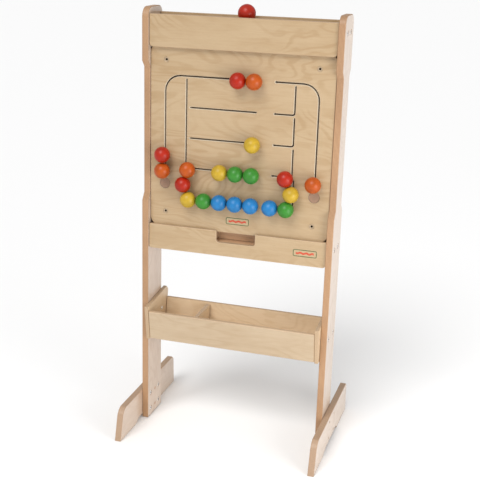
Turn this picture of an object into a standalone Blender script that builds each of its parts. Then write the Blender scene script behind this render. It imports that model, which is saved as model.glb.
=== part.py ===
"""Free-standing wooden activity stand: two uprights on plank feet, a storage tray, and a lift-out
bead-maze panel held between front and rear rails and locked by a red-knobbed pin.

Units are metres, +Z is up, the front faces -Y and the origin is on the floor under the middle."""

from math import asin, cos, pi, radians, sin, sqrt, tan

import bmesh
import bpy

# ---- driving dimensions -----------------------------------------------------------------------
GAP = 0.0003                 # space left between neighbouring pieces
CUT_PAST = 0.002             # how far a cutter runs past the face it opens
BOARD = 0.015                # plywood of uprights, feet, cross bar and back board
THIN_BOARD = 0.009           # plywood of the rails and the tray
EASED_EDGE = 0.0015
MAZE_BOARD = 0.012           # plywood of the slotted board
CLEAR_WIDTH = 0.430          # between the inner faces of the uprights
UPRIGHT_DEPTH = 0.090
UPRIGHT_TOP = 1.0115
UPRIGHT_BOTTOM = 0.001
TOP_RADIUS = 0.022
NECK_INSET = 0.0125
NECK_SPAN = (0.5857, 0.8788)   # heights between which the upright is narrow
NECK_SLOPES = (0.5690, 0.8929)  # heights where the upright is wide again
RAIL_FRONT = 0.0396          # distance of the rails' outer faces from the middle plane
RAIL_LENGTH = 0.4290
RAIL_CORNER = 0.006          # radius of the bottom rail's lower corners and of the finger notch
TOP_RAIL_CORNER = 0.008      # radius of the top rail's lower corners
TOP_RAIL_EDGE = 0.002        # radius of the top rail's upper corners
BOTTOM_RAIL_EDGE = 0.003
TOP_RAIL = (0.9245, 0.9970)
BOTTOM_RAIL = (0.4511, 0.5113)
NOTCH_WIDTH = 0.094
NOTCH_FLOOR = 0.4836
CROSS_BAR = (0.9665, 0.9815)
SHELF = (0.4683, 0.4833)
SHELF_BLOCK_TOP = 0.4995     # the raised ends of the shelf, which locate the panel's back board
SHELF_BLOCK_WIDTH = 0.025

FOOT_REACH = 0.185           # how far the feet reach in front of and behind the middle plane
FOOT_HEIGHT = 0.077
FOOT_ARCH = 0.009
FOOT_FRONT_PAD = (-0.082, -0.070)   # where the front pad ends, and where the arch is at full height
FOOT_REAR_PAD = (0.062, 0.072)
FOOT_NOSE = [(-0.150, FOOT_HEIGHT), (-0.161, 0.071), (-0.1685, 0.061)]
FOOT_TAIL = [(0.184, 0.004), (0.180, 0.069), (0.171, FOOT_HEIGHT)]

PANEL_WIDTH = 0.4286
PANEL_Z = (0.5064, 0.9330)
PANEL_FACE = 0.030           # distance of the slotted face from the middle plane
PANEL_RADIUS = 0.022
INNER_INSET = 0.0006         # how far the spacer and back board lie inside the slotted board
SPACER_SIDE = 0.018
SPACER_OPENING = (0.5650, 0.8780)
SPACER_CORNER = 0.006
BACK_BOARD_FOOT = 0.4838
BACK_BOARD_CORNER = 0.003
PANEL_BOLT_X = 0.1765
PANEL_BOLT_Z = (0.5435, 0.8970)

ROW_TOP = 0.8625             # height of the top track
ROW_PITCH = 0.0703
ROWS = [ROW_TOP - i * ROW_PITCH for i in range(5)]
OUTER_TRACK = 0.1785         # distance of the outer vertical tracks from the middle
INNER_LEFT = -0.1275
INNER_RIGHT = 0.125
LOWER_RIGHT = 0.129          # the lowest right-hand vertical track
BIG_BEND = 0.036
SMALL_BEND = 0.012
TIGHT_BEND = 0.005
LEFT_ROW_START = -0.118
LEFT_ROW_END = 0.0366
RIGHT_ROW_START = 0.0803
TRACK_BREAK = 0.0075         # wood left between one track and the next
TRACK_HALF = 0.0018
TRACK_END_HOLE = 0.0027
PLUG_Z = 0.6110
PLUG_RADIUS = 0.013

BEAD_RADIUS = 0.0185
BEAD_STAND_OFF = 0.0012
BEAD_SPACING = 0.0373        # centre to centre where two beads touch
ROW_END_SLACK = 0.0011       # between a track's end and the nearest bead's axis
PLUG_CLEARANCE = 0.0330      # from a plug's centre up to the lowest bead resting above it
SHANK_RADIUS = 0.00145
KEEPER_RADIUS = 0.011
KEEPER_THICKNESS = 0.0045
KNOB_RADIUS = 0.0200
KNOB_Z = 1.0041
KNOB_NECK = 0.0070
PIN_RADIUS = 0.003
PIN_HOLE = 0.0037
PIN_FOOT = 0.905
PIN_HOLE_FLOOR = 0.874

TRAY_END = [(0.0565, 0.2215), (0.0695, 0.3110), (0.0590, 0.3215), (-0.0705, 0.3090), (-0.0565, 0.2215)]
TRAY_SLANT = radians(8.8)
TRAY_FRONT_TOP = 0.2980
TRAY_BACK_TOP = 0.2930
TRAY_FOOT = 0.2245
TRAY_FLOOR = (0.2285, 0.2345)
TRAY_FLOOR_HALF = 0.0455     # half the floor's width, front to back
DIVIDER_TOP = 0.2900
TRAY_FACE_Y = 0.0628         # outer face of the slanted boards at half height
DIVIDER_X = -0.093

BOLT_HEAD = 0.0060
BOLT_HEAD_DEPTH = 0.0035
BOLT_SUNK = 0.0002           # how far a bolt head lies below the face around it
BOLT_SHANK = 0.003
BOLT_SOCKET = 0.0025
BOLT_SOCKET_DEPTH = 0.0018
PANEL_BOLT_HEAD = 0.0060
PANEL_BOLT_RIM = 0.0010
PANEL_BOLT_END = 0.0030      # how far behind the middle plane a panel bolt ends
FOOT_BOLTS = [(-0.026, 0.020), (0.026, 0.020), (-0.026, 0.062), (0.026, 0.062)]
TRAY_BOLTS = [(-0.025, 0.274), (0.025, 0.274)]
RAIL_BOLTS = [(-0.018, 0.974), (0.018, 0.974), (-0.019, 0.490), (0.019, 0.490)]

HALF = CLEAR_WIDTH / 2

# ---- materials: colour, roughness, metallic ---------------------------------------------------
FINISHES = {
    "birch_face": ((0.66, 0.48, 0.29), 0.45, 0.0),
    "birch_side": ((0.58, 0.44, 0.34), 0.50, 0.0),
    "plug_wood": ((0.38, 0.27, 0.20), 0.55, 0.0),
    "steel": ((0.45, 0.45, 0.46), 0.35, 1.0),
    "red": ((0.60, 0.03, 0.02), 0.30, 0.0),
    "orange": ((0.75, 0.15, 0.02), 0.30, 0.0),
    "yellow": ((0.78, 0.50, 0.04), 0.30, 0.0),
    "green": ((0.05, 0.33, 0.06), 0.30, 0.0),
    "blue": ((0.01, 0.16, 0.55), 0.30, 0.0),
}


def clear_scene():
    for obj in list(bpy.data.objects):
        bpy.data.objects.remove(obj)


def make_collection(name):
    collection = bpy.data.collections.new(name)
    bpy.context.scene.collection.children.link(collection)
    return collection


def finish(name):
    material = bpy.data.materials.get(name)
    if material is None:
        colour, roughness, metallic = FINISHES[name]
        material = bpy.data.materials.new(name)
        material.use_nodes = True
        shader = material.node_tree.nodes["Principled BSDF"]
        shader.inputs["Base Color"].default_value = (*colour, 1)
        shader.inputs["Roughness"].default_value = roughness
        shader.inputs["Metallic"].default_value = metallic
    return material


def place(obj, name, collection, material=None):
    """Names an object and moves it to its collection."""
    for old in list(obj.users_collection):
        old.objects.unlink(obj)
    collection.objects.link(obj)
    obj.name = name
    obj.data.name = name
    if material:
        obj.data.materials.clear()
        obj.data.materials.append(finish(material))
    return obj


# ---- outlines ---------------------------------------------------------------------------------
def arc(centre, radius, start, end, steps):
    """Points on an arc, both ends included; angles in radians."""
    turn = (end - start) / steps
    return [(centre[0] + radius * cos(start + i * turn), centre[1] + radius * sin(start + i * turn))
            for i in range(steps + 1)]


def rounded_rectangle(low, high, bottom, top, steps=3):
    """A rectangle whose bottom and top corners have their own radii."""
    (x0, z0), (x1, z1) = low, high
    return (arc((x1 - bottom, z0 + bottom), bottom, -pi / 2, 0, steps)
            + arc((x1 - top, z1 - top), top, 0, pi / 2, steps)
            + arc((x0 + top, z1 - top), top, pi / 2, pi, steps)
            + arc((x0 + bottom, z0 + bottom), bottom, pi, 3 * pi / 2, steps))


def circle(centre, radius, steps=16):
    return arc(centre, radius, 0, 2 * pi, steps)[:-1]


def heading(a, b):
    """Unit vector from a to b."""
    length = sqrt((b[0] - a[0]) ** 2 + (b[1] - a[1]) ** 2)
    return ((b[0] - a[0]) / length, (b[1] - a[1]) / length)


def track_outline(path, first_hole=TRACK_HALF, last_hole=TRACK_HALF):
    """The closed edge of a slot along a path; each end is part of a circle of its own radius."""
    def side_of(points):
        edge = []
        for i in range(1, len(points) - 1):
            a, b = heading(points[i - 1], points[i]), heading(points[i], points[i + 1])
            normal = (a[1] + b[1], -a[0] - b[0])
            scale = 2 * TRACK_HALF / (normal[0] ** 2 + normal[1] ** 2)
            edge.append((points[i][0] + normal[0] * scale, points[i][1] + normal[1] * scale))
        return edge

    def end_cap(before, end, radius):
        direction = heading(before, end)
        angle = asin(min(direction[1], 1)) if direction[0] >= 0 else pi - asin(direction[1])
        opening = asin(TRACK_HALF / radius)
        steps = 6 if radius < PLUG_RADIUS else 14
        return arc(end, radius, angle - pi + opening, angle + pi - opening, steps)

    back = path[::-1]
    return (side_of(path) + end_cap(path[-2], path[-1], last_hole)
            + side_of(back) + end_cap(back[-2], back[-1], first_hole))


def outline_object(loops, thickness, name, location, facing):
    """A flat outline, first loop outside and the rest holes, extruded about its middle plane and
    turned to face along Y or along X; returned as a welded mesh object."""
    curve = bpy.data.curves.new(name, "CURVE")
    curve.dimensions = "2D"
    curve.fill_mode = "BOTH"
    curve.extrude = thickness / 2
    for loop in loops:
        spline = curve.splines.new("POLY")
        spline.points.add(len(loop) - 1)
        for point, (u, v) in zip(spline.points, loop):
            point.co = (u, v, 0, 1)
        spline.use_cyclic_u = True
    drawn = bpy.data.objects.new(name, curve)
    bpy.context.scene.collection.objects.link(drawn)
    drawn.location = location
    drawn.rotation_euler = (pi / 2, 0, 0) if facing == "Y" else (pi / 2, 0, pi / 2)
    bpy.context.view_layer.update()
    mesh = bpy.data.meshes.new_from_object(drawn.evaluated_get(bpy.context.evaluated_depsgraph_get()))
    solid = bpy.data.objects.new(name, mesh)
    solid.matrix_world = drawn.matrix_world.copy()
    bpy.data.objects.remove(drawn)
    weld(mesh)
    return solid


def weld(mesh):
    sheet = bmesh.new()
    sheet.from_mesh(mesh)
    bmesh.ops.remove_doubles(sheet, verts=sheet.verts, dist=1e-6)
    bmesh.ops.recalc_face_normals(sheet, faces=sheet.faces)
    sheet.to_mesh(mesh)
    sheet.free()


def sheet_piece(name, loops, thickness, location, facing, material, collection):
    solid = outline_object(loops, thickness, name, location, facing)
    bpy.context.scene.collection.objects.link(solid)
    return place(solid, name, collection, material)


def box_piece(name, low, high, material, collection, bevel=0.0, turn=0.0):
    """A board between two corners; bevel eases its edges, turn tips it about X through its middle."""
    middle = [(a + b) / 2 for a, b in zip(low, high)]
    bpy.ops.mesh.primitive_cube_add(size=1, location=middle)
    board = bpy.context.object
    board.scale = [b - a for a, b in zip(low, high)]
    bpy.ops.object.transform_apply(location=False, rotation=False, scale=True)
    board.rotation_euler.x = turn
    if bevel:
        eased = board.modifiers.new("eased edges", "BEVEL")
        eased.width = bevel
        eased.segments = 1
    return place(board, name, collection, material)


def turned_piece(name, profile, location, axis, material, collection, steps):
    """A turned piece from (radius, height) points, bottom to top on the axis at both ends or closed
    on itself; axis Y turns the profile's height towards -Y."""
    mesh = bpy.data.meshes.new(name)
    mesh.from_pydata([(r, 0, h) for r, h in profile], [(i, i + 1) for i in range(len(profile) - 1)], [])
    piece = bpy.data.objects.new(name, mesh)
    bpy.context.scene.collection.objects.link(piece)
    piece.location = location
    piece.rotation_euler = {"Z": (0, 0, 0), "Y": (pi / 2, 0, 0),
                            "X": (0, pi / 2, 0), "-X": (0, -pi / 2, 0)}[axis]
    screw = piece.modifiers.new("turned", "SCREW")
    screw.steps = screw.render_steps = steps
    screw.use_merge_vertices = True
    screw.merge_threshold = 1e-5
    return place(piece, name, collection, material)


def cut_away(piece, cutters, cutter_collection):
    for cutter in cutters:
        cutter.hide_render = True
        cutter.display_type = "WIRE"
        place(cutter, cutter.name, cutter_collection)
        cut = piece.modifiers.new(cutter.name, "BOOLEAN")
        cut.operation = "DIFFERENCE"
        cut.object = cutter


def rod_cutter(name, radius, low, high, axis, across):
    """A round cutter along X, Y or Z from low to high; across gives its other two coordinates."""
    middle = (low + high) / 2
    centre = {"X": (middle, *across), "Y": (across[0], middle, across[1]), "Z": (*across, middle)}[axis]
    rotation = {"X": (0, pi / 2, 0), "Y": (pi / 2, 0, 0), "Z": (0, 0, 0)}[axis]
    bpy.ops.mesh.primitive_cylinder_add(vertices=12, radius=radius, depth=high - low,
                                        location=centre, rotation=rotation)
    bpy.context.object.name = name
    return bpy.context.object


# ---- frame ------------------------------------------------------------------------------------
def upright_outline():
    front = UPRIGHT_DEPTH / 2
    neck = front - NECK_INSET
    rear_edge = [(front, UPRIGHT_BOTTOM), (front, NECK_SLOPES[0]), (neck, NECK_SPAN[0]),
                 (neck, NECK_SPAN[1]), (front, NECK_SLOPES[1])]
    crown = UPRIGHT_TOP - TOP_RADIUS
    top = (arc((front - TOP_RADIUS, crown), TOP_RADIUS, 0, pi / 2, 6)
           + arc((TOP_RADIUS - front, crown), TOP_RADIUS, pi / 2, pi, 6))
    return rear_edge + top + [(-y, z) for y, z in reversed(rear_edge)]


def foot_outline():
    arch = [(FOOT_FRONT_PAD[0], 0), (FOOT_FRONT_PAD[1], FOOT_ARCH), (FOOT_REAR_PAD[0], FOOT_ARCH),
            (FOOT_REAR_PAD[1], 0)]
    return [(-FOOT_REACH, 0)] + arch + [(FOOT_REACH, 0)] + FOOT_TAIL + FOOT_NOSE


def bolt(name, length, start, side, parts):
    """A socket-headed bolt lying along X with its head at start, its end towards side."""
    head = BOLT_HEAD_DEPTH - GAP
    profile = [(0, length), (BOLT_SHANK, length), (BOLT_SHANK, head), (BOLT_HEAD, head), (BOLT_HEAD, 0),
               (BOLT_SOCKET, 0), (0, BOLT_SOCKET_DEPTH)]
    turned_piece(name, profile, start, "X" if side > 0 else "-X", "steel", parts, 12)


def bolt_seat(name, face, side, spot):
    """A cutter for a bolt head's seat, sunk from a face towards side."""
    ends = sorted((face - side * CUT_PAST, face + side * BOLT_HEAD_DEPTH))
    return rod_cutter(name, BOLT_HEAD + GAP, *ends, "X", spot)


def build_side(side, name, parts, cutters):
    """One upright with its foot and their bolts; side is -1 on the left and 1 on the right."""
    inner, outer = side * HALF, side * (HALF + BOARD)
    foot_inner, foot_outer = outer + side * GAP, outer + side * (GAP + BOARD)
    upright = sheet_piece(f"{name}_upright", [upright_outline()], BOARD, ((inner + outer) / 2, 0, 0),
                          "X", "birch_side", parts)
    foot = sheet_piece(f"{name}_foot", [foot_outline()], BOARD, ((foot_inner + foot_outer) / 2, 0, 0),
                       "X", "birch_side", parts)
    way = BOLT_SHANK + GAP
    over = side * CUT_PAST
    sunk = side * BOLT_SUNK

    through_both, upright_only = [], []
    for i, spot in enumerate(FOOT_BOLTS):
        ends = sorted((inner - over, foot_outer + over))
        through_both.append(rod_cutter(f"{name}_foot_bolt_way_{i}", way, *ends, "X", spot))
        upright_only.append(bolt_seat(f"{name}_foot_bolt_seat_{i}", inner, side, spot))
        bolt(f"{name}_foot_bolt_{i + 1}", 2 * BOARD - 4 * BOLT_SUNK, (inner + sunk, *spot), side, parts)
    for i, spot in enumerate(TRAY_BOLTS):
        ends = sorted((inner - over, outer + over))
        upright_only.append(rod_cutter(f"{name}_tray_bolt_way_{i}", way, *ends, "X", spot))
        upright_only.append(bolt_seat(f"{name}_tray_bolt_seat_{i}", outer, -side, spot))
        length = BOARD + THIN_BOARD - 4 * BOLT_SUNK
        bolt(f"{name}_tray_bolt_{i + 1}", length, (outer - sunk, *spot), -side, parts)
    for i, spot in enumerate(RAIL_BOLTS):
        upright_only.append(bolt_seat(f"{name}_rail_bolt_seat_{i}", outer, -side, spot))
    cut_away(upright, through_both + upright_only, cutters)
    cut_away(foot, through_both, cutters)


def build_rails(parts, cutters):
    half = RAIL_LENGTH / 2
    middle = RAIL_FRONT - THIN_BOARD / 2
    top = rounded_rectangle((-half, TOP_RAIL[0]), (half, TOP_RAIL[1]), TOP_RAIL_CORNER, TOP_RAIL_EDGE, 4)
    plain = rounded_rectangle((-half, BOTTOM_RAIL[0]), (half, BOTTOM_RAIL[1]), RAIL_CORNER, BOTTOM_RAIL_EDGE)
    wall, corner = NOTCH_WIDTH / 2, NOTCH_WIDTH / 2 - RAIL_CORNER
    corner_z = NOTCH_FLOOR + RAIL_CORNER
    notch = ([(wall, BOTTOM_RAIL[1])] + arc((corner, corner_z), RAIL_CORNER, 0, -pi / 2, 3)
             + arc((-corner, corner_z), RAIL_CORNER, -pi / 2, -pi, 3) + [(-wall, BOTTOM_RAIL[1])])
    cut_in = len(plain) // 2     # the outline's points at +X come first
    bottom = plain[:cut_in] + notch + plain[cut_in:]
    for where, y in (("front", -middle), ("rear", middle)):
        sheet_piece(f"top_rail_{where}", [top], THIN_BOARD, (0, y, 0), "Y", "birch_face", parts)
        sheet_piece(f"bottom_rail_{where}", [bottom], THIN_BOARD, (0, y, 0), "Y", "birch_face", parts)
    reach = HALF - GAP
    depth = RAIL_FRONT - THIN_BOARD - GAP
    bar = box_piece("top_cross_bar", (-reach, -depth, CROSS_BAR[0]), (reach, depth, CROSS_BAR[1]),
                    "birch_side", parts)
    cut_away(bar, [rod_cutter("pin_way_in_bar", PIN_HOLE, CROSS_BAR[0] - CUT_PAST, CROSS_BAR[1] + CUT_PAST,
                              "Z", (0, 0))], cutters)
    build_shelf(reach, depth, parts, cutters)


def build_shelf(reach, depth, parts, cutters):
    """The board between the bottom rails; its raised ends are slit for the panel's back board."""
    block = reach - SHELF_BLOCK_WIDTH
    outline = [(-reach, SHELF[0]), (reach, SHELF[0]), (reach, SHELF_BLOCK_TOP), (block, SHELF_BLOCK_TOP),
               (block, SHELF[1]), (-block, SHELF[1]), (-block, SHELF_BLOCK_TOP), (-reach, SHELF_BLOCK_TOP)]
    shelf = sheet_piece("bottom_shelf", [outline], 2 * depth, (0, 0, 0), "Y", "birch_side", parts)
    bpy.ops.mesh.primitive_cube_add(size=1)
    slit = bpy.context.object
    slit.name = "shelf_slit"
    slit.scale = (2 * reach + CUT_PAST, BOARD + 4 * GAP, 2 * (SHELF_BLOCK_TOP - SHELF[1]))
    slit.location.z = SHELF_BLOCK_TOP
    cut_away(shelf, [slit], cutters)


# ---- tray -------------------------------------------------------------------------------------
def build_tray(parts, cutters):
    for side, name in ((-1, "left"), (1, "right")):
        x = side * (HALF - GAP - THIN_BOARD / 2)
        end = sheet_piece(f"tray_{name}_end", [TRAY_END], THIN_BOARD, (x, 0, 0), "X", "birch_face", parts)
        ends = sorted((x - side * THIN_BOARD, x + side * THIN_BOARD))
        cut_away(end, [rod_cutter(f"tray_{name}_end_bolt_way_{i}", BOLT_SHANK + GAP, *ends, "X", spot)
                       for i, spot in enumerate(TRAY_BOLTS)], cutters)
    reach = HALF - THIN_BOARD - 2 * GAP
    for name, side, top in (("front", -1, TRAY_FRONT_TOP), ("back", 1, TRAY_BACK_TOP)):
        tilt = -side * TRAY_SLANT
        length = (top - TRAY_FOOT) / cos(TRAY_SLANT)
        middle_z = (top + TRAY_FOOT) / 2
        outer = TRAY_FACE_Y + (middle_z - (TRAY_FRONT_TOP + TRAY_FOOT) / 2) * sin(TRAY_SLANT)
        y = side * (outer - THIN_BOARD / 2 / cos(TRAY_SLANT))
        box_piece(f"tray_{name}", (-reach, y - THIN_BOARD / 2, middle_z - length / 2),
                  (reach, y + THIN_BOARD / 2, middle_z + length / 2), "birch_face", parts,
                  bevel=EASED_EDGE, turn=tilt)
    box_piece("tray_bottom", (-reach, -TRAY_FLOOR_HALF, TRAY_FLOOR[0]),
              (reach, TRAY_FLOOR_HALF, TRAY_FLOOR[1]), "birch_face", parts)
    low = TRAY_FLOOR[1] + GAP
    foot_y = TRAY_FLOOR_HALF + GAP
    head_y = foot_y + (DIVIDER_TOP - low) * tan(TRAY_SLANT)
    outline = [(-foot_y, low), (foot_y, low), (head_y, DIVIDER_TOP), (-head_y, DIVIDER_TOP)]
    sheet_piece("tray_divider", [outline], THIN_BOARD, (DIVIDER_X, 0, 0), "X", "birch_face", parts)


# ---- maze panel -------------------------------------------------------------------------------
def corner_track(start, corner, end, radius):
    """A path from start to end round one corner; start to corner and corner to end are along the
    axes, and the corner is rounded."""
    a, b = heading(start, corner), heading(corner, end)
    centre = (corner[0] - a[0] * radius + b[0] * radius, corner[1] - a[1] * radius + b[1] * radius)
    steps = 6 if radius > SMALL_BEND else 3
    bend = []
    for i in range(steps + 1):
        angle = pi / 2 * i / steps
        bend.append((centre[0] - b[0] * radius * cos(angle) + a[0] * radius * sin(angle),
                     centre[1] - b[1] * radius * cos(angle) + a[1] * radius * sin(angle)))
    return [start] + bend + [end]


def track_loops():
    """The edges of every slot in the maze board."""
    top, low = ROWS[0], ROWS[4]
    left_loop = corner_track((-OUTER_TRACK, PLUG_Z), (-OUTER_TRACK, top), (LEFT_ROW_END, top), BIG_BEND)
    right_loop = corner_track((RIGHT_ROW_START, top), (OUTER_TRACK, top), (OUTER_TRACK, PLUG_Z), BIG_BEND)
    inner_left = corner_track((INNER_LEFT, top - TRACK_BREAK), (INNER_LEFT, low), (LEFT_ROW_END, low),
                              SMALL_BEND)
    lower_right = corner_track((LOWER_RIGHT, ROWS[3] - TRACK_BREAK), (LOWER_RIGHT, low),
                               (RIGHT_ROW_START, low), TIGHT_BEND)
    loops = [track_outline(left_loop, first_hole=PLUG_RADIUS),
             track_outline(right_loop, TRACK_END_HOLE, PLUG_RADIUS),
             track_outline(inner_left),
             track_outline(lower_right, last_hole=TRACK_END_HOLE)]
    for row in ROWS[1:4]:
        stub = corner_track((INNER_RIGHT, row + ROW_PITCH - TRACK_BREAK), (INNER_RIGHT, row),
                            (RIGHT_ROW_START, row), TIGHT_BEND)
        loops.append(track_outline([(LEFT_ROW_START, row), (LEFT_ROW_END, row)]))
        loops.append(track_outline(stub, last_hole=TRACK_END_HOLE))
    return loops


def build_panel(parts, cutters):
    half = PANEL_WIDTH / 2
    low, high = PANEL_Z
    bolt_spots = [(x, z) for x in (-PANEL_BOLT_X, PANEL_BOLT_X) for z in PANEL_BOLT_Z]
    holes = [circle(spot, PANEL_BOLT_HEAD + GAP, 12) for spot in bolt_spots]
    shape = rounded_rectangle((-half, low), (half, high), PANEL_RADIUS, PANEL_RADIUS, 6)
    sheet_piece("maze_board", [shape] + holes + track_loops(), MAZE_BOARD,
                (0, -PANEL_FACE + MAZE_BOARD / 2, 0), "Y", "birch_face", parts)

    inner_half = half - INNER_INSET
    front, back = PANEL_FACE - MAZE_BOARD - GAP, BOARD / 2 + GAP
    ring_corner = PANEL_RADIUS - INNER_INSET
    ring = rounded_rectangle((-inner_half, low + INNER_INSET), (inner_half, high - INNER_INSET),
                             ring_corner, ring_corner, 6)
    cavity_half = inner_half - SPACER_SIDE
    cavity = rounded_rectangle((-cavity_half, SPACER_OPENING[0]), (cavity_half, SPACER_OPENING[1]),
                               SPACER_CORNER, SPACER_CORNER)
    ring_holes = [circle(spot, BOLT_SHANK + GAP, 12) for spot in bolt_spots]
    sheet_piece("spacer_frame", [ring, cavity] + ring_holes, front - back, (0, -(front + back) / 2, 0),
                "Y", "birch_side", parts)

    rear_shape = rounded_rectangle((-inner_half, BACK_BOARD_FOOT), (inner_half, high),
                                   BACK_BOARD_CORNER, SPACER_CORNER)
    rear = sheet_piece("back_board", [rear_shape], BOARD, (0, 0, 0), "Y", "birch_face", parts)
    pin_way = rod_cutter("pin_way_in_back_board", PIN_HOLE, PIN_HOLE_FLOOR, high + CUT_PAST, "Z", (0, 0))
    bolt_ways = [rod_cutter(f"panel_bolt_way_{i}", BOLT_SHANK + GAP, -BOARD / 2 - CUT_PAST,
                            PANEL_BOLT_END + GAP, "Y", spot) for i, spot in enumerate(bolt_spots)]
    cut_away(rear, [pin_way] + bolt_ways, cutters)

    for name, spot in zip(("lower_left", "upper_left", "lower_right", "upper_right"), bolt_spots):
        panel_bolt(f"panel_bolt_{name}", spot, parts)
    for name, x in (("left", -OUTER_TRACK), ("right", OUTER_TRACK)):
        thickness, radius = MAZE_BOARD - 2 * GAP, PLUG_RADIUS - 2 * GAP
        turned_piece(f"track_plug_{name}", [(0, thickness), (radius, thickness), (radius, 0), (0, 0)],
                     (x, -PANEL_FACE + MAZE_BOARD, PLUG_Z), "Y", "plug_wood", parts, 16)


def panel_bolt(name, spot, parts):
    """A countersunk bolt with a hexagon socket, from the slotted face into the back board."""
    face = PANEL_FACE + PANEL_BOLT_END - BOLT_SUNK
    cone = face - PANEL_BOLT_RIM
    head = cone - (PANEL_BOLT_HEAD - BOLT_SHANK)
    profile = [(0, face - 2 * BOLT_SOCKET_DEPTH), (BOLT_SOCKET, face - 1.5 * BOLT_SOCKET_DEPTH),
               (BOLT_SOCKET, face), (PANEL_BOLT_HEAD, face), (PANEL_BOLT_HEAD, cone), (BOLT_SHANK, head),
               (BOLT_SHANK, 0), (0, 0)]
    turned_piece(name, profile, (spot[0], PANEL_BOLT_END, spot[1]), "Y", "steel", parts, 12)


# ---- beads ------------------------------------------------------------------------------------
def ball_profile(radius, centre, end, steps):
    """Points along a ball's side, from its top down to an angle measured from the top."""
    turn = end / steps
    return [(radius * sin(i * turn), centre + radius * cos(i * turn)) for i in range(steps + 1)]


def bead(name, x, z, colour, parts):
    """A ball on a shank through the slot, with a keeper disc behind the board; its origin is where
    the shank's axis meets the slotted face."""
    centre = BEAD_STAND_OFF + BEAD_RADIUS
    shank_angle = pi - asin(SHANK_RADIUS / BEAD_RADIUS)
    keeper_front = -MAZE_BOARD - 2 * GAP
    keeper_back = keeper_front - KEEPER_THICKNESS
    profile = ball_profile(BEAD_RADIUS, centre, shank_angle, 8)
    profile += [(SHANK_RADIUS, keeper_front), (KEEPER_RADIUS, keeper_front),
                (KEEPER_RADIUS, keeper_back), (0, keeper_back)]
    turned_piece(name, profile, (x, -PANEL_FACE, z), "Y", colour, parts, 12)


def above(x, neighbour):
    """Height of a bead at x that rests on a lower neighbour, given as its (x, z)."""
    across = x - neighbour[0]
    return neighbour[1] + sqrt(BEAD_SPACING ** 2 - across ** 2)


def build_beads(parts):
    step = BEAD_SPACING + GAP
    row1, row3, row4, row5 = ROWS[0], ROWS[2], ROWS[3], ROWS[4]
    row_end = LEFT_ROW_END - ROW_END_SLACK
    rest = PLUG_Z + PLUG_CLEARANCE
    beads = [
        ("outer_left_orange", -OUTER_TRACK, rest),
        ("outer_left_red", -OUTER_TRACK, rest + step),
        ("outer_right_orange", OUTER_TRACK, rest),
        ("row1_orange", row_end, row1),
        ("row1_red", row_end - step, row1),
        ("row3_yellow", row_end, row3),
        ("row4_green_right", row_end, row4),
        ("row4_green_left", row_end - step, row4),
        ("row4_yellow", row_end - 2 * step, row4),
        ("row4_orange", LEFT_ROW_START + ROW_END_SLACK, row4),
    ]
    last = LEFT_ROW_END - GAP
    for i, colour in enumerate(("blue_right", "blue_middle", "blue_left", "green", "yellow")):
        beads.append((f"row5_{colour}", last - i * step, row5))
    corner = beads[-1][1]
    beads.append(("inner_left_red", INNER_LEFT, above(INNER_LEFT, (corner, row5))))

    first = RIGHT_ROW_START + ROW_END_SLACK
    second = first + step
    rising = above(LOWER_RIGHT, (second, row5))
    across = sqrt(BEAD_SPACING ** 2 - (row4 - rising) ** 2)
    beads += [
        ("right_blue", first, row5),
        ("right_green", second, row5),
        ("right_yellow", LOWER_RIGHT, rising),
        ("right_red", LOWER_RIGHT - across - GAP, row4),
    ]
    for name, x, z in beads:
        colour = next(word for word in name.split("_") if word in FINISHES)
        bead(f"bead_{name}", x, z, colour, parts)


# ---- lock -------------------------------------------------------------------------------------
def build_lock(parts):
    """The red knob and the pin that drops through the cross bar into the back board; the pin's top
    sits in a bore that ends at the middle of the knob."""
    floor = CROSS_BAR[1] + GAP
    profile = ball_profile(KNOB_RADIUS, KNOB_Z, pi - asin(KNOB_NECK / KNOB_RADIUS), 9)
    profile += [(KNOB_NECK, floor), (PIN_RADIUS + GAP, floor), (PIN_RADIUS + GAP, KNOB_Z), (0, KNOB_Z)]
    turned_piece("lock_knob", profile, (0, 0, 0), "Z", "red", parts, 16)
    top = KNOB_Z - GAP
    tip = PIN_RADIUS / 3
    profile = [(0, top), (PIN_RADIUS, top), (PIN_RADIUS, PIN_FOOT + 2 * tip), (PIN_RADIUS - tip, PIN_FOOT),
               (0, PIN_FOOT)]
    turned_piece("lock_pin", profile, (0, 0, 0), "Z", "steel", parts, 12)


def main():
    clear_scene()
    parts = make_collection("activity_stand")
    cutters = make_collection("cutters")
    for side, name in ((-1, "left"), (1, "right")):
        build_side(side, name, parts, cutters)
    build_rails(parts, cutters)
    build_tray(parts, cutters)
    build_panel(parts, cutters)
    build_beads(parts)
    build_lock(parts)


main()
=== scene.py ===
"""Looks of a free-standing wooden activity stand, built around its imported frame.

Metres, +Z up; the front faces -Y. Boards are shaped from copies of the frame's solids, and the round
pieces are modelled at the places that the frame gives."""

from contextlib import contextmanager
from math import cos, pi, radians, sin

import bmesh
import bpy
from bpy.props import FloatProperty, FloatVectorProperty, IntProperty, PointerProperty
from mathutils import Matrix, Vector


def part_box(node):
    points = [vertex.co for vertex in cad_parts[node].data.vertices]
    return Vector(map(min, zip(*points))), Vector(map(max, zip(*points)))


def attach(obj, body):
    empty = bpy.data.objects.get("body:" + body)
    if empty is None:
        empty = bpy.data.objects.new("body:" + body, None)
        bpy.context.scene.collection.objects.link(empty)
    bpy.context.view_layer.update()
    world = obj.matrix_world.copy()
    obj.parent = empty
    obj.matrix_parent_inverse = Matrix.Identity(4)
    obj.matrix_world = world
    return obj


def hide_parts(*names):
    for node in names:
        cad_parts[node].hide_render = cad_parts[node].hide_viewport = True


bl_info = {
    "name": "Wooden Activity Stand",
    "version": (1, 0, 0),
    "blender": (4, 5, 0),
    "location": "View3D > Sidebar > Stand",
    "description": "Plywood boards, painted beads, fixings and a studio for a wooden activity stand",
    "category": "Add Mesh",
}

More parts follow.
